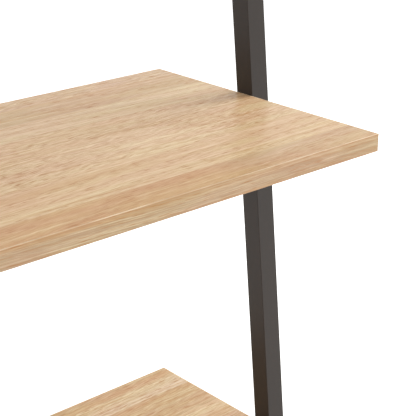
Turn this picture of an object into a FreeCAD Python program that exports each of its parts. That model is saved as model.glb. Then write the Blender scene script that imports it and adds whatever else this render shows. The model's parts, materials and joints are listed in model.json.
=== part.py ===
"""Leaning ladder shelf: two steel legs, five wood boards on bent brackets, swivel feet and wall brackets.

FreeCAD macro, millimetres. +X is to the right, +Y is towards the wall, +Z is up. The origin is on the
floor, in the middle of the shelf's plan. The driving sizes are in the sheet "Sizes"; every other size
is an expression of those cells. Pieces on the left are mirror images of those on the right.
"""

import FreeCAD, Part
import math
import os

import Sketcher

Vector = FreeCAD.Vector
doc = FreeCAD.newDocument("LadderShelf")

# ---------------------------------------------------------------- driving sizes

SIZES = [
    # alias, value, what it is
    ("tier_count", 5, "boards"),
    ("tier_pitch", 330, "from one board's top face to the next"),
    ("first_top", 120, "floor to the lowest board's top face"),
    ("board_length", 600, "between the legs, edge bands included"),
    ("board_thick", 15, "board thickness"),
    ("first_depth", 310, "front to back, lowest board"),
    ("depth_step", 30, "each board is this much shallower than the one below"),
    ("band_thick", 1, "edge band thickness"),
    ("band_round", 0.3, "edge band's outer edges"),
    ("lean", 5.3, "leg's angle from upright, degrees"),
    ("wall_touch", 1646, "height at which the leg's back face would meet the wall"),
    ("leg_top", 1636, "height of the middle of the leg's top end"),
    ("tube_side", 20, "square tube, outside"),
    ("tube_wall", 1.5, "tube wall"),
    ("tube_round", 0.5, "tube's outer corner radius"),
    ("rail_height", 1612, "centre of the top rail"),
    ("plate", 2.5, "bracket sheet thickness"),
    ("bend_inside", 1, "inner radius of the bracket's bend"),
    ("flange_width", 22, "bracket's flange under the board"),
    ("web_height", 42, "bracket's web at the leg"),
    ("web_margin", 6, "web beyond the leg, each side"),
    ("tip_height", 10, "web at the bracket's two tips"),
    ("tip_round", 5, "radius of the web's lower tips"),
    ("bracket_front_gap", 35, "board's front edge to the bracket's tip"),
    ("bracket_rear_gap", 12, "board's rear edge to the bracket's tip"),
    ("bolt_drop_upper", 13, "upper bolt below the board's underside"),
    ("bolt_drop_lower", 31, "lower bolt below the board's underside"),
    ("bolt_radius", 3, "M6"),
    ("bolt_head_radius", 5.25, "button head"),
    ("bolt_head_height", 3.3, "button head"),
    ("bolt_socket_radius", 2.3, "hex socket, corner radius"),
    ("bolt_socket_depth", 2, "hex socket"),
    ("bolt_hole_radius", 3.3, "clearance hole"),
    ("bracket_bolt_length", 16, "M6 bolt into a rivet nut"),
    ("rail_bolt_length", 35, "M6 bolt through the leg into the rail's end nut"),
    ("nut_clearance", 0.02, "bolt to nut, radial"),
    ("rivet_radius", 4.5, "rivet nut's body"),
    ("rivet_length", 12, "rivet nut"),
    ("rivet_bulge_radius", 5.6, "upset behind the tube wall"),
    ("rivet_bulge_length", 4, "upset behind the tube wall"),
    ("fit_gap", 0.1, "plug to tube, and other loose fits"),
    ("end_nut_length", 16, "threaded plug in the rail's end"),
    ("screw_count", 3, "wood screws in one bracket"),
    ("screw_inset", 14, "bracket's tip to its first screw"),
    ("screw_side", 14, "leg's inner face to the screws"),
    ("screw_radius", 2, "wood screw"),
    ("screw_length", 11, "in the board, point included"),
    ("screw_point", 3, "conical point"),
    ("screw_head_radius", 4, "pan head"),
    ("screw_head_height", 2.4, "pan head"),
    ("screw_hole_radius", 2.2, "in the bracket"),
    ("cap_thick", 3, "top cap and foot insert, outside the tube"),
    ("cap_corner", 1.5, "top cap's corner radius"),
    ("cap_round", 1, "top cap's upper edges"),
    ("cap_plug_length", 14, "top cap, inside the tube"),
    ("cap_plug_wall", 1.8, "top cap, inside the tube"),
    ("insert_plug_length", 22, "foot insert, inside the tube"),
    ("ball_height", 9, "centre of the foot's ball above the floor"),
    ("ball_radius", 5, "foot's ball"),
    ("socket_radius", 5.25, "pad's socket"),
    ("neck_radius", 3.4, "between ball and collar"),
    ("collar_start", 7, "ball centre to collar"),
    ("collar_thick", 5, "hex collar"),
    ("collar_radius", 7.5, "hex collar, corner radius"),
    ("stud_radius", 4, "M8"),
    ("stud_length", 28, "above the collar"),
    ("foot_travel", 12, "how far the foot can be wound up into the leg"),
    ("pad_radius", 16, "foot pad"),
    ("pad_rim", 3, "foot pad's straight rim"),
    ("pad_neck_radius", 8, "foot pad's top"),
    ("pad_top", 2.4, "foot pad above the ball's centre"),
    ("pad_round", 1.2, "foot pad's edges"),
    ("wall_bracket_height", 1560, "centre of the wall bracket"),
    ("wall_plate", 2, "wall bracket's sheet"),
    ("wall_bracket_width", 28, "wall bracket, up and down"),
    ("wall_bracket_leg_reach", 30, "flange on the leg"),
    ("wall_bracket_wall_reach", 32, "flange on the wall"),
    ("wall_hole_inset", 20, "leg's inner face to the wall screw's hole"),
    ("wall_hole_radius", 2.75, "wall screw's hole"),
    ("wall_bracket_round", 3, "wall bracket's corners"),
]

sheet = doc.addObject("Spreadsheet::Sheet", "Sizes")
for row, (alias, number, note) in enumerate(SIZES, start=1):
    sheet.set(f"A{row}", alias)
    sheet.set(f"B{row}", str(number))
    sheet.set(f"C{row}", note)
    sheet.setAlias(f"B{row}", alias)
doc.recompute()


def value(expression):
    """The number that an expression of the sheet's cells gives."""
    return float(sheet.evalExpression(str(expression)))


# ---------------------------------------------------------------- derived places, as expressions

WALL = "(Sizes.first_depth / 2)"
LEG_INNER = "(Sizes.board_length / 2)"
LEG_X = "(Sizes.board_length / 2 + Sizes.tube_side / 2)"
SHAFT_START = "(Sizes.collar_start + Sizes.collar_thick)"
TUBE_START = f"({SHAFT_START} + Sizes.foot_travel + Sizes.fit_gap + Sizes.cap_thick)"
TUBE_INSIDE = "(Sizes.tube_side - 2 * Sizes.tube_wall)"
PLUG_SIDE = "(Sizes.tube_side - 2 * Sizes.tube_wall - 2 * Sizes.fit_gap)"
NUT_BORE = "(Sizes.bolt_radius + Sizes.nut_clearance)"
BRACKET_GAPS = "(Sizes.bracket_front_gap + Sizes.bracket_rear_gap)"


def centreline(height):
    """The leg's centreline at a height, measured in Y from the wall plane."""
    return f"(tan(Sizes.lean) * ({height} - Sizes.wall_touch) - Sizes.tube_side / 2 / cos(Sizes.lean))"


def along_leg(height):
    """Distance along the leg's centreline from the foot's ball centre up to a height."""
    return f"(({height} - Sizes.ball_height) / cos(Sizes.lean))"


def top_of(tier):
    return f"(Sizes.first_top + {tier - 1} * Sizes.tier_pitch)"


def under(tier):
    return f"({top_of(tier)} - Sizes.board_thick)"


def depth_of(tier):
    return f"(Sizes.first_depth - {tier - 1} * Sizes.depth_step)"


def screw_spacing(tier):
    """Distance between the wood screws of one bracket."""
    return f"(({depth_of(tier)} - {BRACKET_GAPS} - 2 * Sizes.screw_inset) / (Sizes.screw_count - 1))"


# ---------------------------------------------------------------- modelling helpers

PARTS = []


def finished(piece, label):
    """Names a sub-part after its file and keeps it for export."""
    piece.Label = label
    PARTS.append(piece)
    return piece


def put(piece, x="0", y="0", z="0", leaning=False):
    """Places a piece, square to the room or turned to lie along the leg."""
    if leaning:
        piece.Placement.Rotation = FreeCAD.Rotation(Vector(1, 0, 0), -value("Sizes.lean"))
    for name, expression in (("x", x), ("y", y), ("z", z)):
        piece.setExpression(f"Placement.Base.{name}", expression)
    return piece


def put_on_leg(piece, x=LEG_X, height="Sizes.ball_height"):
    """Places a piece with its own Z along the leg, its origin on the leg's centreline at a height."""
    return put(piece, x, f"{WALL} + {centreline(height)}", height, leaning=True)


def new_body(name):
    return doc.addObject("PartDesign::Body", name)


def origin_feature(body, role):
    return next(f for f in body.Origin.OriginFeatures if f.Role == role)


def attach(feature, body, role, at=("0", "0", "0")):
    """Attaches a feature to one of its body's own planes; at is an offset in that plane's axes."""
    feature.AttachmentSupport = [(origin_feature(body, role), "")]
    feature.MapMode = "FlatFace"
    for name, expression in zip("xyz", at):
        feature.setExpression(f"AttachmentOffset.Base.{name}", str(expression))


def sketch_on(body, name, role, offset="0"):
    sketch = body.newObject("Sketcher::SketchObject", name)
    attach(sketch, body, role, ("0", "0", offset))
    return sketch


def pin_point(sketch, geometry, point, x, y):
    """Holds a point of the sketch at two expressions, measured from the sketch's origin."""
    for kind, expression in (("DistanceX", x), ("DistanceY", y)):
        constraint = Sketcher.Constraint(kind, -1, 1, geometry, point, value(expression))
        index = sketch.addConstraint(constraint)
        sketch.setExpression(f"Constraints[{index}]", str(expression))


def outline(sketch, points):
    """A closed polygon through points that are pairs of expressions."""
    corners = [Vector(value(x), value(y), 0) for x, y in points]
    first = sketch.GeometryCount
    count = len(corners)
    for i in range(count):
        sketch.addGeometry(Part.LineSegment(corners[i], corners[(i + 1) % count]), False)
    for i in range(count):
        sketch.addConstraint(Sketcher.Constraint("Coincident", first + i, 2, first + (i + 1) % count, 1))
    for i, (x, y) in enumerate(points):
        pin_point(sketch, first + i, 1, x, y)


def rectangle(sketch, x0, y0, x1, y1):
    outline(sketch, [(x0, y0), (x1, y0), (x1, y1), (x0, y1)])


def square(sketch, side):
    rectangle(sketch, f"-{side} / 2", f"-{side} / 2", f"{side} / 2", f"{side} / 2")


def circle(sketch, x, y, radius):
    place = Vector(value(x), value(y), 0)
    index = sketch.addGeometry(Part.Circle(place, Vector(0, 0, 1), value(radius)), False)
    pin_point(sketch, index, 3, x, y)
    size = sketch.addConstraint(Sketcher.Constraint("Radius", index, value(radius)))
    sketch.setExpression(f"Constraints[{size}]", str(radius))


def pad(body, sketch, name, length, backwards=False):
    feature = body.newObject("PartDesign::Pad", name)
    feature.Profile = sketch
    feature.setExpression("Length", str(length))
    feature.Reversed = backwards
    doc.recompute()
    return feature


def pocket(body, sketch, name, length=None, backwards=False):
    """Cuts a sketch out of the body, to a length or right through both ways, and makes sure that it cut."""
    before = body.Shape.Volume
    feature = body.newObject("PartDesign::Pocket", name)
    feature.Profile = sketch
    feature.Reversed = backwards
    if length is None:
        feature.SideType = "Two sides"
        feature.Type = "ThroughAll"
        feature.Type2 = "ThroughAll"
    else:
        feature.setExpression("Length", str(length))
    doc.recompute()
    if not body.Shape.Volume < before - 1e-3:
        raise RuntimeError(f"{body.Name}: pocket {name} cuts nothing")
    return feature


def primitive(body, kind, name, role, at, **sizes):
    """An additive or subtractive PartDesign primitive attached to one of the body's planes."""
    feature = body.newObject(f"PartDesign::{kind}", name)
    attach(feature, body, role, at)
    for size, expression in sizes.items():
        feature.setExpression(size, str(expression))
    doc.recompute()
    return feature


def block(body, name, width, length, height, bottom="0", kind="AdditiveBox"):
    """A box centred on the body's own Z axis."""
    corner = (f"-{width} / 2", f"-{length} / 2", bottom)
    return primitive(body, kind, name, "XY_Plane", corner, Length=width, Width=length, Height=height)


def edges_where(shape, test):
    """Names of the edges for which test(edge) holds."""
    return [f"Edge{i}" for i, edge in enumerate(shape.Edges, start=1) if test(edge)]


def is_straight_along(edge, direction):
    if edge.Curve.TypeId != "Part::GeomLine":
        return False
    return abs(abs(edge.tangentAt(edge.FirstParameter).dot(direction)) - 1) < 1e-6


def near(point, **coordinates):
    """Whether a point has these coordinates, to a hundredth of a millimetre."""
    return all(abs(getattr(point, name) - target) < 1e-2 for name, target in coordinates.items())


def dress(body, kind, name, size, test):
    """Fillet or Chamfer on the edges of the body's tip for which test(edge) holds."""
    base = body.Tip
    names = edges_where(base.Shape, test)
    if not names:
        raise RuntimeError(f"{body.Name}: {name} found no edges")
    feature = body.newObject(f"PartDesign::{kind}", name)
    feature.Base = (base, names)
    feature.setExpression("Radius" if kind == "Fillet" else "Size", str(size))
    doc.recompute()
    return feature


def repeat(body, name, originals, role, length, count):
    """A row of the originals along one of the body's axes; the body may then be several solids."""
    feature = body.newObject("PartDesign::LinearPattern", name)
    feature.Originals = originals
    feature.Direction = (origin_feature(body, role), [""])
    feature.setExpression("Length", str(length))
    feature.setExpression("Occurrences", str(count))
    body.Tip = feature
    doc.recompute()
    return feature


def repeat_body(body, name, role, length, count):
    """A row of everything in the body so far."""
    feature = repeat(body, name, [], role, length, count)
    feature.TransformMode = "Whole shape"
    doc.recompute()
    return feature


def mirror_body(body, name):
    """Adds the mirror image of everything in the body so far, across its YZ plane."""
    feature = body.newObject("PartDesign::Mirrored", name)
    feature.MirrorPlane = (origin_feature(body, "YZ_Plane"), [""])
    feature.TransformMode = "Whole shape"
    body.Tip = feature
    doc.recompute()
    return feature


def on_both_sides(right_piece, label):
    """Keeps a right-hand piece and its mirror image; label has a gap for the side."""
    finished(right_piece, label.format("right"))
    left_piece = doc.addObject("Part::Mirroring", f"{right_piece.Name}_mirror")
    left_piece.Source = right_piece
    left_piece.Normal = Vector(1, 0, 0)
    finished(left_piece, label.format("left"))


# ---------------------------------------------------------------- fasteners, drawn inside a body


def button_bolt(body, name, at_x, at_z, length, towards):
    """An M6 button-head bolt along X. Its head sits on the plane x = at_x and its shank runs towards
    +X (towards = 1) or -X (towards = -1)."""
    shank_start = at_x if towards > 0 else f"{at_x} - {length}"
    head_start = f"{at_x} - Sizes.bolt_head_height" if towards > 0 else at_x
    primitive(
        body, "AdditiveCylinder", f"{name}_shank", "YZ_Plane", ("0", at_z, shank_start),
        Radius="Sizes.bolt_radius", Height=length,
    )
    primitive(
        body, "AdditiveCylinder", f"{name}_head", "YZ_Plane", ("0", at_z, head_start),
        Radius="Sizes.bolt_head_radius", Height="Sizes.bolt_head_height",
    )
    crown_x = value(head_start) if towards > 0 else value(head_start) + value("Sizes.bolt_head_height")
    crown = {"x": crown_x, "z": value(at_z)}
    dress(
        body, "Fillet", f"{name}_crown", "Sizes.bolt_head_height * 0.8",
        lambda edge: near(edge.CenterOfMass, **crown) and edge.Length > 2,
    )
    socket_start = head_start if towards > 0 else f"{at_x} + Sizes.bolt_head_height - Sizes.bolt_socket_depth"
    primitive(
        body, "SubtractivePrism", f"{name}_socket", "YZ_Plane", ("0", at_z, socket_start),
        Polygon="6", Circumradius="Sizes.bolt_socket_radius", Height="Sizes.bolt_socket_depth",
    )


def rivet_nut(body, name, at_z):
    """An M6 rivet nut along X in the right leg's inner wall, upset behind that wall."""
    face = "-Sizes.tube_side / 2"
    behind = f"{face} + Sizes.tube_wall"
    primitive(
        body, "AdditiveCylinder", f"{name}_sleeve", "YZ_Plane", ("0", at_z, face),
        Radius="Sizes.rivet_radius", Height="Sizes.rivet_length",
    )
    primitive(
        body, "AdditiveCylinder", f"{name}_bulge", "YZ_Plane", ("0", at_z, behind),
        Radius="Sizes.rivet_bulge_radius", Height="Sizes.rivet_bulge_length",
    )
    primitive(
        body, "SubtractiveCylinder", f"{name}_bore", "YZ_Plane", ("0", at_z, face),
        Radius=NUT_BORE, Height="Sizes.rivet_length",
    )


# ---------------------------------------------------------------- legs and top rail

BRACKET_BOLT_HEIGHTS = {
    "upper": f"({under(1)} - Sizes.bolt_drop_upper)",
    "lower": f"({under(1)} - Sizes.bolt_drop_lower)",
}
ROW_OF_TIERS = "(Sizes.tier_count - 1) * Sizes.tier_pitch / cos(Sizes.lean)"


def leg():
    """Square tube along the lean, with holes for the rivet nuts and for the top rail's bolt."""
    body = put_on_leg(new_body("leg"))
    outside = sketch_on(body, "leg_outside", "XY_Plane", TUBE_START)
    square(outside, "Sizes.tube_side")
    pad(body, outside, "leg_length", f"{along_leg('Sizes.leg_top')} - {TUBE_START}")
    dress(
        body, "Fillet", "leg_corners", "Sizes.tube_round",
        lambda edge: is_straight_along(edge, Vector(0, 0, 1)),
    )
    inside = sketch_on(body, "leg_inside", "XY_Plane", TUBE_START)
    square(inside, TUBE_INSIDE)
    pocket(body, inside, "leg_bore")
    nut_holes = sketch_on(body, "nut_holes", "YZ_Plane")
    for height in BRACKET_BOLT_HEIGHTS.values():
        circle(nut_holes, "0", along_leg(height), "Sizes.rivet_radius + Sizes.fit_gap / 2")
    cut = pocket(body, nut_holes, "nut_holes_first_tier", "Sizes.tube_side")
    repeat(body, "nut_holes_all_tiers", [cut], "Z_Axis", ROW_OF_TIERS, "Sizes.tier_count")
    wall_hole = sketch_on(body, "wall_bracket_nut_hole", "YZ_Plane")
    circle(
        wall_hole, "0", along_leg("Sizes.wall_bracket_height"), "Sizes.rivet_radius + Sizes.fit_gap / 2"
    )
    pocket(body, wall_hole, "wall_bracket_nut_cut", "Sizes.tube_side")
    rail_hole = sketch_on(body, "rail_bolt_hole", "YZ_Plane")
    circle(rail_hole, "0", along_leg("Sizes.rail_height"), "Sizes.bolt_hole_radius")
    pocket(body, rail_hole, "rail_bolt_cut")
    on_both_sides(body, "{}_leg")


def top_rail():
    """Square tube between the legs near their top, turned to lie flush with them."""
    body = new_body("top_rail")
    put_on_leg(body, f"-{LEG_INNER}", "Sizes.rail_height")
    outside = sketch_on(body, "rail_outside", "YZ_Plane")
    square(outside, "Sizes.tube_side")
    pad(body, outside, "rail_length", "Sizes.board_length")
    dress(
        body, "Fillet", "rail_corners", "Sizes.tube_round",
        lambda edge: is_straight_along(edge, Vector(1, 0, 0)),
    )
    inside = sketch_on(body, "rail_inside", "YZ_Plane")
    square(inside, TUBE_INSIDE)
    pocket(body, inside, "rail_bore")
    finished(body, "top_rail")


def rail_end_nuts():
    """Threaded plugs in the top rail's two ends."""
    body = put_on_leg(new_body("rail_end_nuts"), "0", "Sizes.rail_height")
    start = f"{LEG_INNER} - Sizes.end_nut_length"
    primitive(
        body, "AdditiveBox", "plug", "YZ_Plane", (f"-{PLUG_SIDE} / 2", f"-{PLUG_SIDE} / 2", start),
        Length=PLUG_SIDE, Width=PLUG_SIDE, Height="Sizes.end_nut_length",
    )
    primitive(
        body, "SubtractiveCylinder", "thread", "YZ_Plane", ("0", "0", start),
        Radius=NUT_BORE, Height="Sizes.end_nut_length",
    )
    mirror_body(body, "both_ends")
    finished(body, "top_rail_end_nuts")


def rail_bolts():
    body = put_on_leg(new_body("rail_bolts"), "0", "Sizes.rail_height")
    leg_outer = f"({LEG_INNER} + Sizes.tube_side)"
    button_bolt(body, "bolt", leg_outer, "0", "Sizes.rail_bolt_length", towards=-1)
    mirror_body(body, "both_ends")
    finished(body, "top_rail_bolts")


def rivet_nuts():
    """Two nuts for each tier's bracket and one for the wall bracket, all in the leg's inner wall."""
    body = put_on_leg(new_body("rivet_nuts"))
    for name, height in BRACKET_BOLT_HEIGHTS.items():
        rivet_nut(body, name, along_leg(height))
    repeat_body(body, "all_tiers", "Z_Axis", ROW_OF_TIERS, "Sizes.tier_count")
    rivet_nut(body, "wall_bracket_nut", along_leg("Sizes.wall_bracket_height"))
    on_both_sides(body, "{}_rivet_nuts")


def bracket_bolts():
    body = put_on_leg(new_body("bracket_bolts"))
    web_face = "(-Sizes.tube_side / 2 - Sizes.plate)"
    for name, height in BRACKET_BOLT_HEIGHTS.items():
        button_bolt(body, name, web_face, along_leg(height), "Sizes.bracket_bolt_length", towards=1)
    repeat_body(body, "all_tiers", "Z_Axis", ROW_OF_TIERS, "Sizes.tier_count")
    on_both_sides(body, "{}_bracket_bolts")


def top_cap():
    """Plastic cap on the leg's top end, with a hollow square plug inside the tube."""
    body = put_on_leg(new_body("top_cap"))
    end = along_leg("Sizes.leg_top")
    block(body, "plug", PLUG_SIDE, PLUG_SIDE, "Sizes.cap_plug_length", f"{end} - Sizes.cap_plug_length")
    hollow = f"({PLUG_SIDE} - 2 * Sizes.cap_plug_wall)"
    block(
        body, "plug_hollow", hollow, hollow, "Sizes.cap_plug_length",
        f"{end} - Sizes.cap_plug_length", kind="SubtractiveBox",
    )
    block(body, "cover", "Sizes.tube_side", "Sizes.tube_side", "Sizes.cap_thick", end)
    half = value("Sizes.tube_side / 2")
    crown = value(f"{end} + Sizes.cap_thick")
    dress(
        body, "Fillet", "cover_corners", "Sizes.cap_corner",
        lambda edge: is_straight_along(edge, Vector(0, 0, 1)) and abs(edge.CenterOfMass.x) > half - 0.01,
    )
    dress(
        body, "Fillet", "cover_edges", "Sizes.cap_round",
        lambda edge: near(edge.CenterOfMass, z=crown),
    )
    on_both_sides(body, "{}_top_cap")


# ---------------------------------------------------------------- feet


def foot_insert():
    """Plastic plug in the leg's lower end, threaded for the foot's stud."""
    body = put_on_leg(new_body("foot_insert"))
    bottom = f"({TUBE_START} - Sizes.cap_thick)"
    block(body, "flange", "Sizes.tube_side", "Sizes.tube_side", "Sizes.cap_thick", bottom)
    dress(
        body, "Fillet", "flange_corners", "Sizes.tube_round",
        lambda edge: is_straight_along(edge, Vector(0, 0, 1)),
    )
    block(body, "plug", PLUG_SIDE, PLUG_SIDE, "Sizes.insert_plug_length", TUBE_START)
    primitive(
        body, "SubtractiveCylinder", "thread", "XY_Plane", ("0", "0", bottom),
        Radius="Sizes.stud_radius + Sizes.fit_gap", Height="Sizes.cap_thick + Sizes.insert_plug_length",
    )
    on_both_sides(body, "{}_foot_insert")


def foot_stud():
    """Threaded stud with a hex collar and a ball at its lower end, turned from one piece."""
    body = put_on_leg(new_body("foot_stud"))
    primitive(
        body, "AdditiveSphere", "ball", "XY_Plane", ("0", "0", "0"), Radius="Sizes.ball_radius"
    )
    primitive(
        body, "AdditiveCylinder", "neck", "XY_Plane", ("0", "0", "0"),
        Radius="Sizes.neck_radius", Height=SHAFT_START,
    )
    primitive(
        body, "AdditivePrism", "collar", "XY_Plane", ("0", "0", "Sizes.collar_start"),
        Polygon="6", Circumradius="Sizes.collar_radius", Height="Sizes.collar_thick",
    )
    primitive(
        body, "AdditiveCylinder", "shaft", "XY_Plane", ("0", "0", SHAFT_START),
        Radius="Sizes.stud_radius", Height="Sizes.stud_length",
    )
    end = value(f"{SHAFT_START} + Sizes.stud_length")
    dress(body, "Chamfer", "shaft_end", "1", lambda edge: near(edge.CenterOfMass, z=end) and edge.Length > 1)
    on_both_sides(body, "{}_foot_stud")


def foot_pad():
    """Round plastic pad, flat on the floor, that snaps over the stud's ball."""
    body = new_body("foot_pad")
    put(body, LEG_X, f"{WALL} + {centreline('Sizes.ball_height')}", "Sizes.ball_height")
    floor = "-Sizes.ball_height"
    primitive(
        body, "AdditiveCylinder", "rim", "XY_Plane", ("0", "0", floor),
        Radius="Sizes.pad_radius", Height="Sizes.pad_rim",
    )
    primitive(
        body, "AdditiveCone", "dome", "XY_Plane", ("0", "0", f"{floor} + Sizes.pad_rim"),
        Radius1="Sizes.pad_radius", Radius2="Sizes.pad_neck_radius",
        Height="Sizes.ball_height - Sizes.pad_rim + Sizes.pad_top",
    )
    shoulder = value(f"{floor} + Sizes.pad_rim")
    crown = value("Sizes.pad_top")
    dress(
        body, "Fillet", "pad_edges", "Sizes.pad_round",
        lambda edge: (near(edge.CenterOfMass, z=shoulder) or near(edge.CenterOfMass, z=crown))
        and not is_straight_along(edge, Vector(0, 0, 1)),
    )
    primitive(
        body, "SubtractiveSphere", "socket", "XY_Plane", ("0", "0", "0"), Radius="Sizes.socket_radius"
    )
    on_both_sides(body, "{}_foot_pad")


# ---------------------------------------------------------------- one tier: brackets, board, edge bands, screws


def shelf_bracket(tier):
    """Bent steel bracket under the right end of a board. Its own origin is where the leg's inner face,
    the wall plane and the board's underside meet."""
    body = put(new_body(f"bracket_{tier}"), LEG_INNER, WALL, under(tier))
    front = f"(Sizes.bracket_front_gap - {depth_of(tier)})"
    rear = "(-Sizes.bracket_rear_gap)"
    flange = sketch_on(body, "flange_outline", "XY_Plane")
    rectangle(flange, "-Sizes.flange_width", front, "0", rear)
    pad(body, flange, "flange", "Sizes.plate", backwards=True)
    foot_of_web = f"({under(tier)} - Sizes.web_height)"
    half = "(Sizes.tube_side / 2 / cos(Sizes.lean) + Sizes.web_margin)"
    web = sketch_on(body, "web_outline", "YZ_Plane")
    outline(
        web,
        [
            (front, "0"),
            (front, "-Sizes.tip_height"),
            (f"{centreline(foot_of_web)} - {half}", "-Sizes.web_height"),
            (f"{centreline(foot_of_web)} + {half}", "-Sizes.web_height"),
            (rear, "-Sizes.tip_height"),
            (rear, "0"),
        ],
    )
    pad(body, web, "web", "Sizes.plate", backwards=True)
    inner = -value("Sizes.plate")
    along_y = Vector(0, 1, 0)
    dress(
        body, "Fillet", "bend_outside", "Sizes.plate + Sizes.bend_inside",
        lambda edge: is_straight_along(edge, along_y) and near(edge.CenterOfMass, x=0, z=0),
    )
    dress(
        body, "Fillet", "bend_inside", "Sizes.bend_inside",
        lambda edge: is_straight_along(edge, along_y) and near(edge.CenterOfMass, x=inner, z=inner),
    )
    tip = -value("Sizes.tip_height")
    dress(
        body, "Fillet", "web_tips", "Sizes.tip_round",
        lambda edge: is_straight_along(edge, Vector(1, 0, 0)) and near(edge.CenterOfMass, z=tip),
    )
    side = -value("Sizes.flange_width")
    dress(
        body, "Fillet", "flange_corners", "Sizes.tip_round",
        lambda edge: is_straight_along(edge, Vector(0, 0, 1)) and near(edge.CenterOfMass, x=side),
    )
    bolt_holes = sketch_on(body, "bolt_holes", "YZ_Plane")
    for drop in ("Sizes.bolt_drop_upper", "Sizes.bolt_drop_lower"):
        circle(bolt_holes, centreline(f"({under(tier)} - {drop})"), f"-{drop}", "Sizes.bolt_hole_radius")
    pocket(body, bolt_holes, "bolt_holes_cut", "Sizes.plate * 2")
    screw_hole = sketch_on(body, "screw_hole", "XY_Plane")
    circle(screw_hole, "-Sizes.screw_side", f"{front} + Sizes.screw_inset", "Sizes.screw_hole_radius")
    hole = pocket(body, screw_hole, "screw_hole_first", "Sizes.plate * 2")
    row = f"{screw_spacing(tier)} * (Sizes.screw_count - 1)"
    repeat(body, "screw_holes", [hole], "Y_Axis", row, "Sizes.screw_count")
    on_both_sides(body, f"shelf_{tier}_{{}}_bracket")


def shelf_board(tier):
    """Wood board inside its edge bands, with pilot holes in its underside. Its own origin is at the
    wall plane, midway between the legs, on its underside."""
    body = put(new_body(f"board_{tier}"), "0", WALL, under(tier))
    half = f"({LEG_INNER} - Sizes.band_thick)"
    face = sketch_on(body, "face", "XY_Plane")
    rectangle(face, f"-{half}", f"Sizes.band_thick - {depth_of(tier)}", half, "-Sizes.band_thick")
    pad(body, face, "thickness", "Sizes.board_thick")
    pilot = sketch_on(body, "pilot_holes_first", "XY_Plane")
    first_y = f"Sizes.bracket_front_gap + Sizes.screw_inset - {depth_of(tier)}"
    for side in ("-", ""):
        circle(
            pilot, f"{side}({LEG_INNER} - Sizes.screw_side)", first_y,
            "Sizes.screw_radius + Sizes.nut_clearance",
        )
    hole = pocket(body, pilot, "pilot_holes_cut", "Sizes.screw_length + 1", backwards=True)
    row = f"{screw_spacing(tier)} * (Sizes.screw_count - 1)"
    repeat(body, "pilot_holes", [hole], "Y_Axis", row, "Sizes.screw_count")
    finished(body, f"shelf_{tier}_board")


def band_strip(name, x, y, z, length, width, outer_test):
    """One strip of edge band, its outer long edges rounded."""
    strip = doc.addObject("Part::Box", name)
    for size, expression in (("Length", length), ("Width", width), ("Height", "Sizes.board_thick")):
        strip.setExpression(size, expression)
    put(strip, x, y, z)
    doc.recompute()
    radius = value("Sizes.band_round")
    rounded = doc.addObject("Part::Fillet", f"{name}_rounded")
    rounded.Base = strip
    names = edges_where(strip.Shape, outer_test)
    rounded.Edges = [(int(edge.removeprefix("Edge")), radius, radius) for edge in names]
    return rounded


def edge_bands(tier):
    """Four strips glued round the board: front and rear at full length, two between them at the ends."""
    band, length = "Sizes.band_thick", "Sizes.board_length"
    depth, z = depth_of(tier), under(tier)
    front_y = f"{WALL} - {depth}"
    rear_y = f"{WALL} - {band}"
    front_plane, rear_plane, end_plane = value(front_y), value(WALL), value(LEG_INNER)
    strips = [
        band_strip(
            f"band_{tier}_front", f"-{LEG_INNER}", front_y, z, length, band,
            lambda edge: near(edge.CenterOfMass, y=front_plane),
        ),
        band_strip(
            f"band_{tier}_rear", f"-{LEG_INNER}", rear_y, z, length, band,
            lambda edge: near(edge.CenterOfMass, y=rear_plane),
        ),
    ]
    for side, sign, x in (("left", -1, f"-{LEG_INNER}"), ("right", 1, f"{LEG_INNER} - {band}")):
        plane = sign * end_plane
        strips.append(
            band_strip(
                f"band_{tier}_{side}", x, f"{front_y} + {band}", z, band, f"{depth} - 2 * {band}",
                lambda edge, plane=plane: near(edge.CenterOfMass, x=plane)
                and is_straight_along(edge, Vector(0, 1, 0)),
            )
        )
    group = doc.addObject("Part::Compound", f"bands_{tier}")
    group.Links = strips
    finished(group, f"shelf_{tier}_edge_bands")


def shelf_screws(tier):
    """Pan-head wood screws up through both brackets of a tier into its board."""
    body = new_body(f"screws_{tier}")
    first_y = f"{WALL} - {depth_of(tier)} + Sizes.bracket_front_gap + Sizes.screw_inset"
    put(body, "0", first_y, under(tier))
    x = f"({LEG_INNER} - Sizes.screw_side)"
    shank_length = "(Sizes.screw_length - Sizes.screw_point)"
    primitive(
        body, "AdditiveCylinder", "shank", "XY_Plane", (x, "0", "-Sizes.plate"),
        Radius="Sizes.screw_radius", Height=f"{shank_length} + Sizes.plate",
    )
    primitive(
        body, "AdditiveCone", "point", "XY_Plane", (x, "0", shank_length),
        Radius1="Sizes.screw_radius", Radius2="0.2", Height="Sizes.screw_point",
    )
    head_bottom = "(-Sizes.plate - Sizes.screw_head_height)"
    primitive(
        body, "AdditiveCylinder", "head", "XY_Plane", (x, "0", head_bottom),
        Radius="Sizes.screw_head_radius", Height="Sizes.screw_head_height",
    )
    crown = value(head_bottom)
    dress(
        body, "Fillet", "head_crown", "Sizes.screw_head_height * 0.7",
        lambda edge: near(edge.CenterOfMass, z=crown) and edge.Length > 2,
    )
    for name, across, along in (("a", 1, 4.2), ("b", 4.2, 1)):
        corner = (f"{x} - {across} / 2", f"-{along} / 2", head_bottom)
        primitive(
            body, "SubtractiveBox", f"cross_{name}", "XY_Plane", corner,
            Length=across, Width=along, Height="Sizes.screw_head_height * 0.6",
        )
    row = f"{screw_spacing(tier)} * (Sizes.screw_count - 1)"
    repeat_body(body, "row", "Y_Axis", row, "Sizes.screw_count")
    mirror_body(body, "both_brackets")
    finished(body, f"shelf_{tier}_screws")


# ---------------------------------------------------------------- wall brackets


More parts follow.
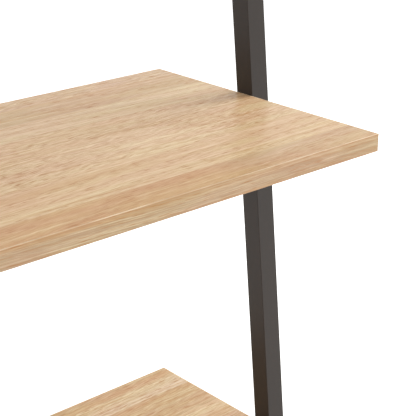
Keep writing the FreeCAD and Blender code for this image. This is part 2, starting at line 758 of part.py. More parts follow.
def wall_bracket():
    """Bent plate that ties the right leg's inner face to the wall. Its own origin is where that face
    meets the wall plane, at the bracket's mid height."""
    body = put(new_body("wall_bracket"), LEG_INNER, WALL, "Sizes.wall_bracket_height")
    half = "Sizes.wall_bracket_width / 2"
    on_leg = sketch_on(body, "leg_flange_outline", "YZ_Plane")
    rectangle(on_leg, "-Sizes.wall_bracket_leg_reach", f"-{half}", "0", half)
    pad(body, on_leg, "leg_flange", "Sizes.wall_plate", backwards=True)
    # the XZ plane faces -Y, so a pad along its normal grows into the room
    on_wall = sketch_on(body, "wall_flange_outline", "XZ_Plane")
    rectangle(on_wall, "-Sizes.wall_bracket_wall_reach", f"-{half}", "0", half)
    pad(body, on_wall, "wall_flange", "Sizes.wall_plate")
    inner = -value("Sizes.wall_plate")
    up = Vector(0, 0, 1)
    dress(
        body, "Fillet", "bend_outside", "Sizes.wall_plate + Sizes.bend_inside",
        lambda edge: is_straight_along(edge, up) and near(edge.CenterOfMass, x=0, y=0),
    )
    dress(
        body, "Fillet", "bend_inside", "Sizes.bend_inside",
        lambda edge: is_straight_along(edge, up) and near(edge.CenterOfMass, x=inner, y=inner),
    )
    leg_end = -value("Sizes.wall_bracket_leg_reach")
    wall_end = -value("Sizes.wall_bracket_wall_reach")
    dress(
        body, "Fillet", "corners", "Sizes.wall_bracket_round",
        lambda edge: not is_straight_along(edge, up)
        and edge.Length < 3
        and (near(edge.CenterOfMass, y=leg_end) or near(edge.CenterOfMass, x=wall_end)),
    )
    leg_hole = sketch_on(body, "leg_bolt_hole", "YZ_Plane")
    circle(leg_hole, centreline("Sizes.wall_bracket_height"), "0", "Sizes.bolt_hole_radius")
    pocket(body, leg_hole, "leg_bolt_hole_cut", "Sizes.wall_plate * 2")
    wall_hole = sketch_on(body, "wall_screw_hole", "XZ_Plane")
    circle(wall_hole, "-Sizes.wall_hole_inset", "0", "Sizes.wall_hole_radius")
    pocket(body, wall_hole, "wall_screw_hole_cut", "Sizes.wall_plate * 2", backwards=True)
    on_both_sides(body, "{}_wall_bracket")


def wall_bracket_bolts():
    body = put_on_leg(new_body("wall_bracket_bolts"), "0", "Sizes.wall_bracket_height")
    face = f"({LEG_INNER} - Sizes.wall_plate)"
    button_bolt(body, "bolt", face, "0", "Sizes.bracket_bolt_length", towards=1)
    mirror_body(body, "both_sides")
    finished(body, "wall_bracket_bolts")


# ---------------------------------------------------------------- build and export


def check_document():
    doc.recompute()
    for item in doc.Objects:
        if any(flag in item.State for flag in ("Invalid", "Error")):
            raise RuntimeError(f"{item.Name} ({item.TypeId}) is {item.State}")
    for piece in PARTS:
        shape = piece.Shape
        if shape.isNull() or not shape.isValid() or shape.Volume <= 0:
            raise RuntimeError(f"{piece.Label} has no valid shape")


def export():
    os.makedirs("parts", exist_ok=True)
    for piece in PARTS:
        piece.Shape.exportStep(f"parts/{piece.Label}.step")
        box = piece.Shape.BoundBox
        corners = (box.XMin, box.YMin, box.ZMin, box.XMax, box.YMax, box.ZMax)
        rounded = " ".join(f"{corner:.1f}" for corner in corners)
        print(f"{piece.Label}: {len(piece.Shape.Solids)} solids, {piece.Shape.Volume:.0f} mm3, {rounded}")


leg()
top_rail()
rail_end_nuts()
rail_bolts()
rivet_nuts()
bracket_bolts()
top_cap()
foot_insert()
foot_stud()
foot_pad()
for number in range(1, int(value("Sizes.tier_count")) + 1):
    shelf_bracket(number)
    shelf_board(number)
    edge_bands(number)
    shelf_screws(number)
wall_bracket()
wall_bracket_bolts()
check_document()
export()
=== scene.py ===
import json
import math

import bmesh
import bpy
from mathutils import Matrix, Vector


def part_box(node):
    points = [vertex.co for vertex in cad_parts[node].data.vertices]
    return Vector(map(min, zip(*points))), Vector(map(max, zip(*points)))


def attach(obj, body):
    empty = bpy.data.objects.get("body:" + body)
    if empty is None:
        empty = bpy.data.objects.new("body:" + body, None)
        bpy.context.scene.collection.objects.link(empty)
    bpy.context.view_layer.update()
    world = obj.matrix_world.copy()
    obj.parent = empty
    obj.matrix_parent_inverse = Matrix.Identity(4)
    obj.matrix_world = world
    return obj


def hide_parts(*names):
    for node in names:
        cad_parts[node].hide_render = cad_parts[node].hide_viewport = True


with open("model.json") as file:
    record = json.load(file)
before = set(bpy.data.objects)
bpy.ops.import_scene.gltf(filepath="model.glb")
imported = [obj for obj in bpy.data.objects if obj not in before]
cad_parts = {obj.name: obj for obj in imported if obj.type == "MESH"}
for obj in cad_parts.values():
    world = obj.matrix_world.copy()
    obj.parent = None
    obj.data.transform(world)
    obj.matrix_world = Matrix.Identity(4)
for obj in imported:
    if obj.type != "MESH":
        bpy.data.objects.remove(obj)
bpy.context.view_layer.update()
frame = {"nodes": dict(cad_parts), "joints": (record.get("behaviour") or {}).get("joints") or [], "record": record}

MM = 0.001


# ---------------------------------------------------------------- node helper


class Graph:
    """A node material. The methods from math to bump add nodes and return an output socket or sockets."""

    def __init__(self, name):
        self.material = bpy.data.materials.new(name)
        self.material.use_nodes = True
        self.tree = self.material.node_tree
        self.shader = self.tree.nodes["Principled BSDF"]

    def feed(self, socket, value):
        if isinstance(value, bpy.types.NodeSocket):
            self.tree.links.new(value, socket)
        else:
            socket.default_value = value

    def node(self, kind, **settings):
        made = self.tree.nodes.new(kind)
        for name, value in settings.items():
            setattr(made, name, value)
        return made

    def math(self, operation, a, b=0.0):
        made = self.node("ShaderNodeMath", operation=operation)
        self.feed(made.inputs[0], a)
        self.feed(made.inputs[1], b)
        return made.outputs[0]

    def add(self, a, b):
        return self.math("ADD", a, b)

    def subtract(self, a, b):
        return self.math("SUBTRACT", a, b)

    def times(self, a, b):
        return self.math("MULTIPLY", a, b)

    def scaled_sum(self, *pairs):
        """The sum of value times weight over the pairs."""
        total = self.times(*pairs[0])
        for value, weight in pairs[1:]:
            total = self.add(total, self.times(value, weight))
        return total

    def combine(self, x, y, z):
        made = self.node("ShaderNodeCombineXYZ")
        for socket, value in zip(made.inputs, (x, y, z)):
            self.feed(socket, value)
        return made.outputs[0]

    def separate(self, vector):
        made = self.node("ShaderNodeSeparateXYZ")
        self.feed(made.inputs[0], vector)
        return made.outputs[0], made.outputs[1], made.outputs[2]

    def place(self):
        """The point's place in the row frame, in millimetres."""
        coordinates = self.node("ShaderNodeTexCoord").outputs["Object"]
        made = self.node("ShaderNodeVectorMath", operation="SCALE")
        self.feed(made.inputs[0], coordinates)
        made.inputs["Scale"].default_value = 1 / MM
        return made.outputs[0]

    def noise(self, at, detail=2.0, roughness=0.5, scale=1.0):
        made = self.node("ShaderNodeTexNoise", noise_dimensions="3D")
        self.feed(made.inputs["Vector"], at)
        made.inputs["Scale"].default_value = scale
        made.inputs["Detail"].default_value = detail
        made.inputs["Roughness"].default_value = roughness
        return made.outputs["Fac"]

    def fade_in(self, value, start, full, strength=1.0, smooth=False):
        """Runs from 0 where the value is at start to strength where it is at full, and stays there beyond."""
        made = self.node("ShaderNodeMapRange", clamp=True)
        made.interpolation_type = "SMOOTHSTEP" if smooth else "LINEAR"
        for socket, given in zip(made.inputs, (value, start, full, 0.0, strength)):
            self.feed(socket, given)
        return made.outputs[0]

    def mix(self, factor, a, b, blend="MIX"):
        made = self.node("ShaderNodeMix", data_type="RGBA", blend_type=blend)
        self.feed(made.inputs["Factor"], factor)
        for name, value in (("A", a), ("B", b)):
            socket = next(s for s in made.inputs if s.name == name and s.type == "RGBA")
            self.feed(socket, value if isinstance(value, bpy.types.NodeSocket) else (*value, 1.0))
        return next(s for s in made.outputs if s.type == "RGBA")

    def bump(self, height, distance):
        """A bump whose height runs from 0 to 1 over this distance in metres."""
        made = self.node("ShaderNodeBump")
        self.feed(made.inputs["Height"], height)
        made.inputs["Distance"].default_value = distance
        made.inputs["Strength"].default_value = 1.0
        return made.outputs[0]

    def surface(self, **sockets):
        for name, value in sockets.items():
            self.feed(self.shader.inputs[name.replace("_", " ")], value)
        return self.material


# ---------------------------------------------------------------- wood

CREAM = (0.612, 0.492, 0.324)
OAT = (0.59, 0.52, 0.39)
STRAW = (0.596, 0.45, 0.28)
AMBER = (0.49, 0.304, 0.15)
FAWN = (0.46, 0.322, 0.192)
DUSK = (0.474, 0.342, 0.208)
MAUVE = (0.515, 0.396, 0.286)
ROSE = (0.585, 0.438, 0.3)
BLUSH = (0.618, 0.480, 0.312)
PORE = (0.356, 0.166, 0.059)
# the edge bands' colour: partly their own greyer tone, and partly painted shade that makes the front faces darker
# than the boards' tops
BAND_TONE_AND_PAINTED_SHADE = (0.366, 0.250, 0.152)
RAY = (0.75, 0.616, 0.427)
YELLOW_TINT = (1.01, 1.04, 0.99)
ROSY_TINT = (1.005, 0.97, 0.975)

# From the rear edge forwards: width (mm), shades to the left and right, where one turns into the other (mm),
# how mottled, how far in front of the shelf's middle the stave's pith line lies (mm)
STAVES = [
    (22, CREAM, MAUVE, -150, 0.9, 30),
    (40, ROSE, DUSK, -90, 0.3, -70),
    (38, STRAW, CREAM, -210, 0.15, 55),
    (92, STRAW, BLUSH, -240, 1.0, 5),
    (54, CREAM, STRAW, -130, 0.35, -45),
    (34, AMBER, DUSK, 185, 0.3, 80),
    (15, AMBER, FAWN, -60, 0.5, -60),
    (24, BLUSH, OAT, -220, 0.8, 12),
    (46, ROSE, DUSK, -40, 0.6, -35),
    (28, OAT, CREAM, 30, 0.4, 65),
    (60, BLUSH, ROSE, -170, 0.8, -8),
    (44, STRAW, AMBER, -20, 0.3, 50),
    (63, ROSE, STRAW, 60, 0.5, -20),
]
STAVES_SPAN = sum(stave[0] for stave in STAVES)
# the stave at each board's rear edge, from the lowest board up
FIRST_STAVES = (6, 0, 8, 3, 10)
# the spans (mm) that the pith lines and the turns lie within, so that a colour ramp can hold them
PITH_SPAN = 200.0
TURN_SPAN = 800.0
# how long a turn is, and how far it wanders off straight (mm)
TURN_LENGTH = 50.0
TURN_WANDER = 60.0
# steps of the golden ratio spread any number of staves evenly through the log (mm)
GOLDEN_STEP = 0.618
LOG_LENGTH = 4000.0
LOG_WIDTH = 700.0
# how far the joints between staves wander (mm), and how often
JOINT_WANDER = 1.6
DRIFT_PER_MM = 0.01
# how deep under the floor a board's pith lines lie (mm), so that the rings run wide through the higher
# boards, how much they differ from stave to stave (mm), and how they slope
PITH_DEPTH = 14.0
PITH_DEPTH_SPREAD = 14.0
PITH_SIDE_SPREAD = 20.0
PITH_SLOPE = 0.02
# what keeps the noise of two boards apart
DRIFT_SEED_STEP = 5.0
BOARD_SEED_STEP = 3.7

# The noise layers: changes per mm along and across the grain, seed, detail and roughness
GRAIN = {
    "sway": (0.0030, 0.008, 0.0, 1.0, 0.5),
    "ripple": (0.016, 0.05, 3.1, 2.0, 0.5),
    "wobble": (0.05, 0.14, 61.0, 2.0, 0.5),
    "broad": (0.0016, 0.055, 9.7, 2.0, 0.5),
    "lines": (0.0040, 0.40, 5.9, 5.0, 0.74),
    "fleck": (0.055, 0.50, 23.0, 3.0, 0.65),
    "cloud": (0.010, 0.055, 41.0, 2.0, 0.5),
}
# how far three of them bend the grain (mm), and the share of two that even a plain stave gets
SWAY = 14.0
RIPPLE = 5.0
RIPPLE_PLAIN = 0.25
WOBBLE = 4.0
WOBBLE_PLAIN = 0.15
# growth rings: how many, how much sway and ripple bend them, where the early wood in each peaks and ends
RINGS_PER_MM = 0.30
RING_SWAY = 1.5
PITH_RIPPLE = 2.0
EARLY_PEAK = 0.12
EARLY_END = 0.8
EARLY_DARKNESS = 0.18
# the slope of the ray fleck to the grain, how far it ripples (mm), and how strongly its dark and pale
# sides show in a mottled stave and, on top of that, in any stave
FLECK_SLOPE = 0.16
FLECK_RIPPLE = 6.0
DARK_FLECK = 0.36
DARK_FLECK_PLAIN = 0.09
PALE_FLECK = 0.44
PALE_FLECK_PLAIN = 0.11
# fibres and pores: changes per mm along and across the grain
FIBRE_ALONG = 0.035
FIBRE_ACROSS = 3.2
PORE_ALONG = 0.085
PORE_ACROSS = 1.15
# how deep pores are in early wood, in a mottled stave and, on top of that, anywhere
PORE_EARLY = 0.7
PORE_MOTTLED = 0.25
PORE_PLAIN = 0.25
# how far fibres stand up and pores sink in, as parts of the relief
FIBRE_RISE = 0.4
PORE_SINK = -0.6

WOOD_ROUGHNESS = 0.31
WOOD_IOR = 1.3
WOOD_RELIEF = 0.03 * MM

# the dark line where a board meets its edge bands (mm)
GLUE_WIDTH = 0.12
GLUE_FADE = 0.3
GLUE_DARKNESS = 0.6

# An edge band, in mm below its top: a painted highlight along its top edge, partly the paler trimmed edge, and a
# line of painted shade under it
HIGHLIGHT_FULL = 0.2
HIGHLIGHT_END = 0.5
SHADE_LINE_START = 0.5
SHADE_LINE_FULL = 0.9
SHADE_LINE_FADE = 1.1
SHADE_LINE_END = 1.6
# how strongly that painted highlight and painted shade show, in patches along the band: changes per mm, and from
# how little to how much
PATCHINESS_PER_MM = 0.02
PATCHINESS_LEAST = 0.15
PATCHINESS_SPREAD = 0.55
HIGHLIGHT_PALENESS = 0.95
SHADE_LINE_DARKNESS = 0.6
# its grain is finer than a board's, and every band is cut from another place (mm)
BAND_FINENESS = 1.6
BAND_MOTTLE = 0.15
BAND_SHIFT = 133.0
# how far under the floor and behind the band's face its pith line lies (mm)
BAND_PITH_SIDE = 40.0
BAND_PITH_DEPTH = 25.0
FIRST_BAND_SEED = 5.0
BAND_SEED_STEP = 4.3


def stave_table(g, at, x):
    """Looks a point up among the staves. at runs from 0 to 1 over all of them, x is in millimetres.

    Gives the stave's shade, and three numbers from 0 to 1: its own place in the log, its mottle and its
    pith line's side.
    """
    left, right, traits = (g.node("ShaderNodeValToRGB") for _ in range(3))
    edge = 0.0
    for ramp in (left, right, traits):
        ramp.color_ramp.interpolation = "CONSTANT"
        g.feed(ramp.inputs[0], at)
    for index, (width, left_shade, right_shade, turn, mottle, side) in enumerate(STAVES):
        log = math.modf(index * GOLDEN_STEP)[0]
        trait = (log, mottle, 0.5 + side / PITH_SPAN, 0.5 + turn / TURN_SPAN)
        colours = ((*left_shade, 1.0), (*right_shade, 1.0), trait)
        for ramp, colour in zip((left, right, traits), colours):
            stops = ramp.color_ramp.elements
            # a new ramp already has its first two stops
            stop = stops[index] if index < 2 else stops.new(edge)
            stop.position = edge
            stop.color = colour
        edge += width / STAVES_SPAN
    past_turn = g.scaled_sum((x, 1.0), (g.subtract(0.5, traits.outputs["Alpha"]), TURN_SPAN))
    turned = g.fade_in(past_turn, start=-TURN_LENGTH / 2, full=TURN_LENGTH / 2, smooth=True)
    return g.mix(turned, left.outputs[0], right.outputs[0]), *g.separate(traits.outputs[0])


def grain(g, layer, along, across, seed):
    """One noise layer, stretched along the grain."""
    per_mm_along, per_mm_across, layer_seed, detail, roughness = GRAIN[layer]
    at = g.combine(g.times(along, per_mm_along), g.times(across, per_mm_across), seed + layer_seed)
    return g.noise(at, detail=detail, roughness=roughness)


def oak_figure(g, shade, along, across, thick, pith_side, pith_depth, mottle, seed):
    """Colour, height and pore mask of oak whose grain runs along the first of three coordinates (mm).

    The growth rings are cylinders about a pith line, which lies beside and below the surface.
    """
    sway = g.add(grain(g, "sway", along, across, seed), -0.5)
    ripple = g.add(grain(g, "ripple", along, across, seed), -0.5)
    wobble = g.add(grain(g, "wobble", along, across, seed), -0.5)
    bend = g.scaled_sum(
        (sway, SWAY),
        (g.times(ripple, g.add(mottle, RIPPLE_PLAIN)), RIPPLE),
        (g.times(wobble, g.add(mottle, WOBBLE_PLAIN)), WOBBLE),
    )
    bent = g.add(across, bend)

    side = g.add(pith_side, bend)
    depth = g.add(pith_depth, g.times(ripple, PITH_RIPPLE))
    radius = g.math("SQRT", g.add(g.times(side, side), g.times(depth, depth)))
    ring = g.math("FRACT", g.scaled_sum((radius, RINGS_PER_MM), (sway, RING_SWAY)))
    early = g.times(
        g.fade_in(ring, start=0.0, full=EARLY_PEAK, smooth=True),
        g.fade_in(ring, start=EARLY_END, full=EARLY_PEAK),
    )

    broad = grain(g, "broad", along, bent, seed)
    lines = grain(g, "lines", along, bent, seed)
    skewed = g.scaled_sum((bent, 1.0), (along, FLECK_SLOPE), (ripple, FLECK_RIPPLE))
    fleck = grain(g, "fleck", along, skewed, seed)
    cloud = grain(g, "cloud", along, bent, seed)
    fibre = g.noise(
        g.combine(g.times(along, FIBRE_ALONG), g.times(bent, FIBRE_ACROSS), g.times(thick, FIBRE_ACROSS))
    )
    dash = g.noise(
        g.combine(g.times(along, PORE_ALONG), g.times(bent, PORE_ACROSS), g.add(thick, seed)), detail=1.0
    )

    colour = g.mix(g.fade_in(broad, start=0.42, full=0.68, strength=0.50, smooth=True), shade, AMBER)
    colour = g.mix(g.fade_in(lines, start=0.49, full=0.66, strength=0.90), colour, AMBER)
    colour = g.mix(g.fade_in(lines, start=0.49, full=0.32, strength=0.60), colour, RAY)
    colour = g.mix(g.times(early, EARLY_DARKNESS), colour, PORE)
    dark_fleck = g.scaled_sum((mottle, DARK_FLECK), (DARK_FLECK_PLAIN, 1.0))
    pale_fleck = g.scaled_sum((mottle, PALE_FLECK), (PALE_FLECK_PLAIN, 1.0))
    colour = g.mix(g.times(g.fade_in(fleck, start=0.49, full=0.70), dark_fleck), colour, PORE)
    colour = g.mix(g.times(g.fade_in(fleck, start=0.50, full=0.30), pale_fleck), colour, RAY)
    pore_depth = g.scaled_sum((early, PORE_EARLY), (mottle, PORE_MOTTLED), (PORE_PLAIN, 1.0))
    pores = g.times(g.fade_in(dash, start=0.54, full=0.70), pore_depth)
    colour = g.mix(pores, colour, PORE)
    colour = g.mix(g.fade_in(fibre, start=0.40, full=0.75, strength=0.18), colour, PORE)
    tint = g.mix(g.fade_in(cloud, start=0.36, full=0.62, smooth=True), YELLOW_TINT, ROSY_TINT)
    colour = g.mix(1.0, colour, tint, "MULTIPLY")
    height = g.scaled_sum((fibre, FIBRE_RISE), (pores, PORE_SINK))
    return colour, height, pores


def finish_wood(g, colour, height, pores):
    patches = g.noise(g.place(), scale=0.05)
    return g.surface(
        Base_Color=colour,
        Roughness=g.scaled_sum((pores, 0.15), (patches, 0.08), (WOOD_ROUGHNESS, 1.0)),
        IOR=WOOD_IOR,
        Normal=g.bump(height, WOOD_RELIEF),
    )


def glue_line(g, board, x, y):
    """A mask, 1 in the line of glue round the board's top, where the edge bands meet it."""
    low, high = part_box(board)
    from_sides = g.subtract(high[0] / MM, g.math("ABSOLUTE", x))
    from_front = g.subtract(y, low[1] / MM)
    from_rear = g.subtract(high[1] / MM, y)
    nearest = g.math("MINIMUM", from_sides, g.math("MINIMUM", from_front, from_rear))
    return g.fade_in(nearest, start=GLUE_FADE, full=GLUE_WIDTH)


def board_oak(name, board, first_stave):
    """Oak decor of edge-glued staves, each with its own shade and figure."""
    g = Graph(name)
    x, y, z = g.separate(g.place())
    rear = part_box(board)[1][1] / MM
    from_rear = g.subtract(rear, y)
    drift_at = g.combine(g.times(x, DRIFT_PER_MM), g.times(y, DRIFT_PER_MM), first_stave * DRIFT_SEED_STEP)
    drift = g.noise(drift_at, detail=1.0)
    start = sum(stave[0] for stave in STAVES[:first_stave])
    at = g.scaled_sum((from_rear, 1 / STAVES_SPAN), (drift, JOINT_WANDER / STAVES_SPAN))
    at = g.math("FRACT", g.add(at, (start - JOINT_WANDER / 2) / STAVES_SPAN))
    shade, log, mottle, side = stave_table(g, at, g.add(x, g.times(drift, TURN_WANDER)))
    along = g.add(x, g.times(log, LOG_LENGTH))
    across = g.add(from_rear, g.times(log, LOG_WIDTH))
    pith_side = g.scaled_sum((g.add(side, -0.5), PITH_SPAN), (y, 1.0), (log, PITH_SIDE_SPREAD))
    pith_depth = g.scaled_sum((x, PITH_SLOPE), (z, 1.0), (log, PITH_DEPTH_SPREAD), (PITH_DEPTH, 1.0))
    seed = first_stave * BOARD_SEED_STEP
    colour, height, pores = oak_figure(g, shade, along, across, z, pith_side, pith_depth, mottle, seed)
    colour = g.mix(g.times(glue_line(g, board, x, y), GLUE_DARKNESS), colour, PORE)
    return finish_wood(g, colour, height, pores)


def band_oak(name, board, bands, seed):
    """The same oak as a thin strip, its grain along the strip. Its top edge gets a painted highlight, partly the
    trimmed edge's own paleness, and a line of painted shade under it.
    """
    g = Graph(name)
    x, y, z = g.separate(g.place())
    board_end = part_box(board)[1][0] / MM
    at_end = g.math("GREATER_THAN", g.math("ABSOLUTE", x), board_end)
    along = g.scaled_sum((y, at_end), (x, g.subtract(1.0, at_end)))
    along = g.add(along, seed * BAND_SHIFT)
    across = g.times(z, BAND_FINENESS)
    pith_side = g.add(z, BAND_PITH_SIDE)
    # the band's colour holds painted shade as well as its own tone
    colour, height, pores = oak_figure(
        g, BAND_TONE_AND_PAINTED_SHADE, along, across, 0.0, pith_side, BAND_PITH_DEPTH, BAND_MOTTLE, seed
    )
    below_top = g.subtract(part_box(bands)[1][2] / MM, z)
    # painted highlight along the top edge, partly the trimmed edge's own paleness
    painted_highlight = g.fade_in(below_top, start=HIGHLIGHT_END, full=HIGHLIGHT_FULL)
    # painted shade in a thin line under the painted highlight
    painted_shade_line = g.times(
        g.fade_in(below_top, start=SHADE_LINE_START, full=SHADE_LINE_FULL),
        g.fade_in(below_top, start=SHADE_LINE_END, full=SHADE_LINE_FADE),
    )
    # patches along the band where the painted highlight is weaker and the painted shade stronger
    patchiness = g.noise(g.combine(g.times(along, PATCHINESS_PER_MM), 0.0, seed))
    patchy = g.add(g.fade_in(patchiness, start=0.35, full=0.65, strength=PATCHINESS_SPREAD), PATCHINESS_LEAST)
    colour = g.mix(g.times(painted_highlight, g.subtract(HIGHLIGHT_PALENESS, patchy)), colour, RAY)
    colour = g.mix(g.times(painted_shade_line, g.times(patchy, SHADE_LINE_DARKNESS)), colour, PORE)
    return finish_wood(g, colour, height, pores)


# ---------------------------------------------------------------- metal and plastic

COAT_DARK = (0.0225, 0.016, 0.012)
COAT_LIGHT = (0.027, 0.0195, 0.015)
COAT_GRIT = (0.05, 0.042, 0.036)
ZINC_BLUE = (0.58, 0.60, 0.63)
ZINC_YELLOW = (0.66, 0.63, 0.56)
PLASTIC_BLACK = (0.016, 0.016, 0.017)
PLASTIC_WORN = (0.026, 0.026, 0.026)


def powder_coat():
    """Dark bronze powder coat: a fine orange peel under a satin sheen."""
    g = Graph("powder_coat")
    at = g.place()
    peel = g.noise(at, scale=1.6)
    grit = g.noise(at, detail=1.0, scale=7.0)
    patch = g.noise(at, scale=0.012)
    colour = g.mix(g.fade_in(patch, start=0.3, full=0.7), COAT_DARK, COAT_LIGHT)
    colour = g.mix(g.fade_in(grit, start=0.55, full=0.75, strength=0.35), colour, COAT_GRIT)
    return g.surface(
        Base_Color=colour,
        Roughness=g.scaled_sum((grit, 0.12), (patch, 0.06), (0.36, 1.0)),
        Specular_IOR_Level=0.3,
        Normal=g.bump(g.add(peel, g.times(grit, 0.35)), 0.012 * MM),
    )


def zinc():
    """Bright zinc plate with faint blue-yellow clouds and a fine grain."""
    g = Graph("zinc_plate")
    at = g.place()
    cloud = g.noise(at, detail=3.0, scale=0.35)
    grit = g.noise(at, detail=4.0, scale=5.0)
    return g.surface(
        Base_Color=g.mix(g.fade_in(cloud, start=0.35, full=0.65), ZINC_BLUE, ZINC_YELLOW),
        Metallic=1.0,
        Roughness=g.scaled_sum((grit, 0.18), (cloud, 0.12), (0.14, 1.0)),
        Normal=g.bump(grit, 0.006 * MM),
    )


def moulded_plastic():
    """Black polyamide with a spark-eroded grain."""
    g = Graph("moulded_plastic")
    at = g.place()
    pits = g.noise(at, scale=3.2)
    patchiness = g.noise(at, scale=0.08)
    return g.surface(
        Base_Color=g.mix(g.fade_in(patchiness, start=0.4, full=0.7), PLASTIC_BLACK, PLASTIC_WORN),
        Roughness=g.scaled_sum((pits, 0.18), (0.38, 1.0)),
        Normal=g.bump(pits, 0.02 * MM),
    )


def give(node, material):
    """Puts one material on a CAD node."""
    for slot in frame["nodes"][node].material_slots:
        slot.material = material


def dress_nodes():
    slots = {part["node"]: part["material_slot"] for part in frame["record"]["subparts"]}
    shared = {
        "powder_coated_steel": powder_coat(),
        "zinc_steel": zinc(),
        "black_plastic": moulded_plastic(),
    }
    for node, slot in slots.items():
        if slot in shared:
            give(node, shared[slot])
    make_foot_studs(shared["zinc_steel"])
    boards = sorted(node for node, slot in slots.items() if slot == "oak_laminate")
    for number, (board, first_stave) in enumerate(zip(boards, FIRST_STAVES), start=1):
        give(board, board_oak(f"oak_board_{number}", board, first_stave))
        bands = board.replace("board", "edge_bands")
        seed = FIRST_BAND_SEED + BAND_SEED_STEP * number
        give(bands, band_oak(f"oak_band_{number}", board, bands, seed))


# ---------------------------------------------------------------- foot studs

# Heights (mm) are above the centre of the ball
BALL_RADIUS = 5.0
BALL_START = math.radians(-86)
BALL_ROWS = 18
NECK_RADIUS = 3.4
COLLAR_LOW = 7.0
COLLAR_HIGH = 12.0
COLLAR_APOTHEM = 6.5
COLLAR_FACE_RADIUS = 6.2
COLLAR_CONE = math.radians(30)
COLLAR_ROWS = 24
THREAD_RADIUS = 4.0
THREAD_ROOT = 3.25
THREAD_PITCH = 1.25
# in pitches: how far from the middle of a crest its flank ends, and how much of that is flank
FLANK_END = 0.375
FLANK_WIDTH = 0.3125
THREAD_ROWS = 224
STUD_TOP = 40.0
TIP_INSET = 0.2
STUD_SIDES = 48
SHARP_EDGE = math.radians(35)


def ball(height, angle):
    return math.sqrt(BALL_RADIUS ** 2 - height ** 2)


def neck(height, angle):
    return NECK_RADIUS


def collar(height, angle):
    """A hexagon whose corners a cone turns down towards both faces."""
    from_face = min(height - COLLAR_LOW, COLLAR_HIGH - height)
    hexagon = COLLAR_APOTHEM / math.cos(angle % (math.pi / 3) - math.pi / 6)
    return min(hexagon, COLLAR_FACE_RADIUS + from_face / math.tan(COLLAR_CONE))


def thread(height, angle):
    """A 60 degree thread with flat crests and roots, which fades out at the collar and has a bevelled tip."""
    from_crest = abs((height / THREAD_PITCH - angle / math.tau) % 1.0 - 0.5)
    flank = min(max((FLANK_END - from_crest) / FLANK_WIDTH, 0.0), 1.0)
    run_out = min((height - COLLAR_HIGH) / THREAD_PITCH, 1.0)
    radius = THREAD_ROOT + (THREAD_RADIUS - THREAD_ROOT) * flank * run_out
    return min(radius, THREAD_ROOT - TIP_INSET + STUD_TOP - height)


def steps(start, end, count):
    return [start + (end - start) * step / count for step in range(count + 1)]


def stud_skin():
    """One closed skin from the ball's lowest point up to the stud's tip, in millimetres, about the Z axis."""
    ball_angles = steps(BALL_START, math.acos(NECK_RADIUS / BALL_RADIUS), BALL_ROWS)
    rows = [(BALL_RADIUS * math.sin(angle), ball) for angle in ball_angles]
    rows += [(COLLAR_LOW, neck)]
    rows += [(height, collar) for height in steps(COLLAR_LOW, COLLAR_HIGH, COLLAR_ROWS)]
    rows += [(height, thread) for height in steps(COLLAR_HIGH, STUD_TOP, THREAD_ROWS)]
    skin = bmesh.new()
    rings = []
    for height, radius in rows:
        ring = []
        for angle in steps(0.0, math.tau, STUD_SIDES)[:-1]:
            reach = radius(height, angle)
            ring.append(skin.verts.new((reach * math.cos(angle), reach * math.sin(angle), height)))
        rings.append(ring)
    for lower, upper in zip(rings, rings[1:]):
        for side in range(STUD_SIDES):
            after = (side + 1) % STUD_SIDES
            skin.faces.new((lower[side], lower[after], upper[after], upper[side]))
    skin.faces.new(reversed(rings[0]))
    skin.faces.new(rings[-1])
    return skin


def make_foot_studs(material):
    """Turned studs with real threads, in place of the plain ones, each on its pad's ball centre."""
    joints = {joint["name"]: joint for joint in frame["joints"]}
    for side in ("left", "right"):
        up = Vector(joints[f"{side}_foot_height"]["axis"])
        centre = Vector(joints[f"{side}_foot_tilt"]["pos_m"])
        lean = Vector((0.0, 0.0, 1.0)).rotation_difference(up).to_matrix().to_4x4()
        skin = stud_skin()
        skin.transform(Matrix.Translation(centre) @ lean @ Matrix.Scale(MM, 4))
        mesh = bpy.data.meshes.new(f"{side}_threaded_stud")
        skin.to_mesh(mesh)
        skin.free()
        mesh.shade_smooth()
        mesh.set_sharp_from_angle(angle=SHARP_EDGE)
        mesh.materials.append(material)
        stud = bpy.data.objects.new(f"{side}_threaded_stud", mesh)
        bpy.context.scene.collection.objects.link(stud)
        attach(stud, f"{side}_foot_stud")
        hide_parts(f"{side}_foot_stud")


# ---------------------------------------------------------------- room, light and camera

FLOOR_SIZE = 60.0
FLOOR_GLOW = 0.22

# from the upper right front corner of the second board's edge bands to the point aimed at
AIM_FROM_CORNER = Vector((-214.8, -32.0, 0.0)) * MM
AIM_DISTANCE = 814.4 * MM
AZIMUTH = math.radians(-41.752)
ELEVATION = math.radians(21.242)
LENS = 103.25
SENSOR = 36.0
NEAREST_IN_VIEW = 10 * MM


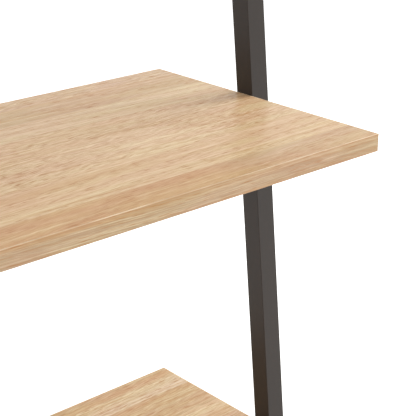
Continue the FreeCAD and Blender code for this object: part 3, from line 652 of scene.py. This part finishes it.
def stage_floor():
    """A white sweep large enough that no view sees its edge."""
    bpy.ops.mesh.primitive_plane_add(size=FLOOR_SIZE)
    floor = bpy.context.object
    floor.name = "floor"
    g = Graph("white_floor")
    g.surface(Base_Color=(0.92, 0.92, 0.92, 1.0), Roughness=0.9)
    g.surface(Emission_Color=(1.0, 1.0, 1.0, 1.0), Emission_Strength=FLOOR_GLOW)
    floor.data.materials.append(g.material)


def light_room():
    world = bpy.data.worlds.new("studio")
    bpy.context.scene.world = world
    world.use_nodes = True
    background = world.node_tree.nodes["Background"]
    background.inputs["Color"].default_value = (1.0, 1.0, 1.0, 1.0)
    background.inputs["Strength"].default_value = 1.0
    bpy.context.scene.view_settings.view_transform = "Standard"


def area_light(name, place, aim, size, watts):
    data = bpy.data.lights.new(name, "AREA")
    data.shape = "DISK"
    data.size = size
    data.energy = watts
    lamp = bpy.data.objects.new(name, data)
    lamp.location = place
    lamp.rotation_euler = (Vector(aim) - Vector(place)).to_track_quat("-Z", "Y").to_euler()
    bpy.context.scene.collection.objects.link(lamp)


def aim_camera():
    """The camera looks at a point just in front of the second board, from the left and above."""
    low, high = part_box("shelf_2_edge_bands")
    corner = Vector((high[0], low[1], high[2]))
    back = Vector((
        math.sin(AZIMUTH) * math.cos(ELEVATION),
        -math.cos(AZIMUTH) * math.cos(ELEVATION),
        math.sin(ELEVATION),
    ))
    data = bpy.data.cameras.new("camera")
    data.lens = LENS
    data.sensor_width = SENSOR
    data.clip_start = NEAREST_IN_VIEW
    camera = bpy.data.objects.new("camera", data)
    camera.location = corner + AIM_FROM_CORNER + back * AIM_DISTANCE
    camera.rotation_euler = (-back).to_track_quat("-Z", "Y").to_euler()
    bpy.context.scene.collection.objects.link(camera)
    bpy.context.scene.camera = camera


# ---------------------------------------------------------------- make the scene

dress_nodes()
stage_floor()
light_room()
area_light("side_softbox", place=(2.1, -0.1, 1.4), aim=(0.0, 0.0, 0.45), size=1.5, watts=45)
area_light("front_softbox", place=(1.7, -1.9, 0.65), aim=(0.2, 0.0, 0.45), size=1.4, watts=4.5)
aim_camera()
